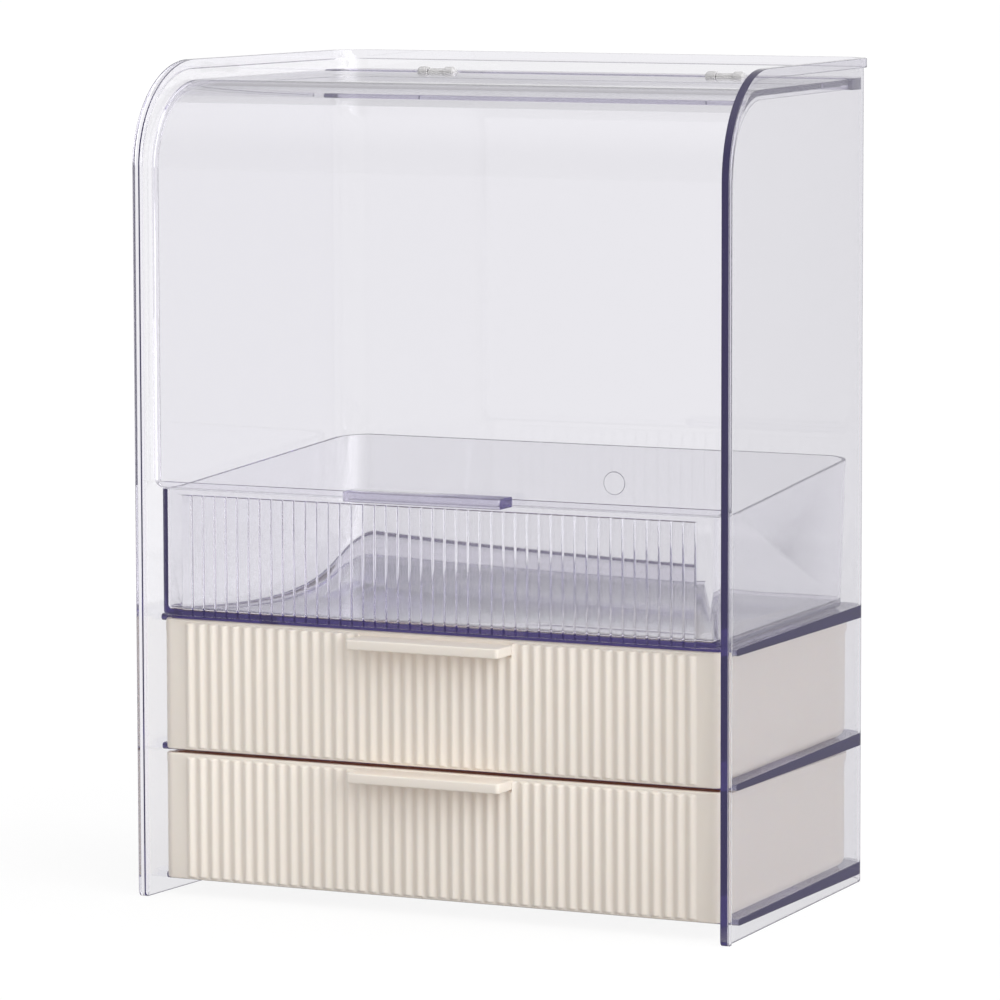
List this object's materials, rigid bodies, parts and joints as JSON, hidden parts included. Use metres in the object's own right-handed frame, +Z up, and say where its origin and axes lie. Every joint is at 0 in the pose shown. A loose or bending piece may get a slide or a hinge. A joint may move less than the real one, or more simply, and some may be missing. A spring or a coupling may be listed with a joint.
{
  "type": "makeup display case",
  "caption": "Clear plastic makeup display case with a curved lift-up lid, an open reeded tray and cream reeded drawers with bar handles.",
  "frame": {"origin": "middle of the footprint, handles included, on the table", "axes": "+Z up, the drawers and the lid open towards -Y, +X to the right seen from the front"},
  "size_m": [0.29, 0.1912, 0.375],
  "materials": {
    "clear_plastic": "clear and polished",
    "cream_plastic": "smooth satin",
    "milky_plastic": "milky and smooth"
  },
  "bodies": {
    "case": {"case_shell": "clear_plastic", "rear_top_bar": "clear_plastic", "left_hinge_base": "milky_plastic", "left_hinge_pin": "milky_plastic", "right_hinge_base": "milky_plastic", "right_hinge_pin": "milky_plastic", "tray": "clear_plastic"},
    "lid": {"lid": "clear_plastic", "lid_handle": "clear_plastic", "left_hinge_leaf": "milky_plastic", "right_hinge_leaf": "milky_plastic"},
    "upper_drawer": {"upper_drawer": "cream_plastic", "upper_drawer_handle": "cream_plastic"},
    "lower_drawer": {"lower_drawer": "cream_plastic", "lower_drawer_handle": "cream_plastic"}
  },
  "joints": [
    {"name": "lid_hinge", "type": "hinge", "parent": "case", "child": "lid", "pos_m": [0, 0.0687, 0.366], "axis": [-1, 0, 0], "range_deg": [0, 130]},
    {"name": "upper_drawer_slide", "type": "slide", "parent": "case", "child": "upper_drawer", "axis": [0, -1, 0], "range_m": [0, 0.13]},
    {"name": "lower_drawer_slide", "type": "slide", "parent": "case", "child": "lower_drawer", "axis": [0, -1, 0], "range_m": [0, 0.13]}
  ]
}
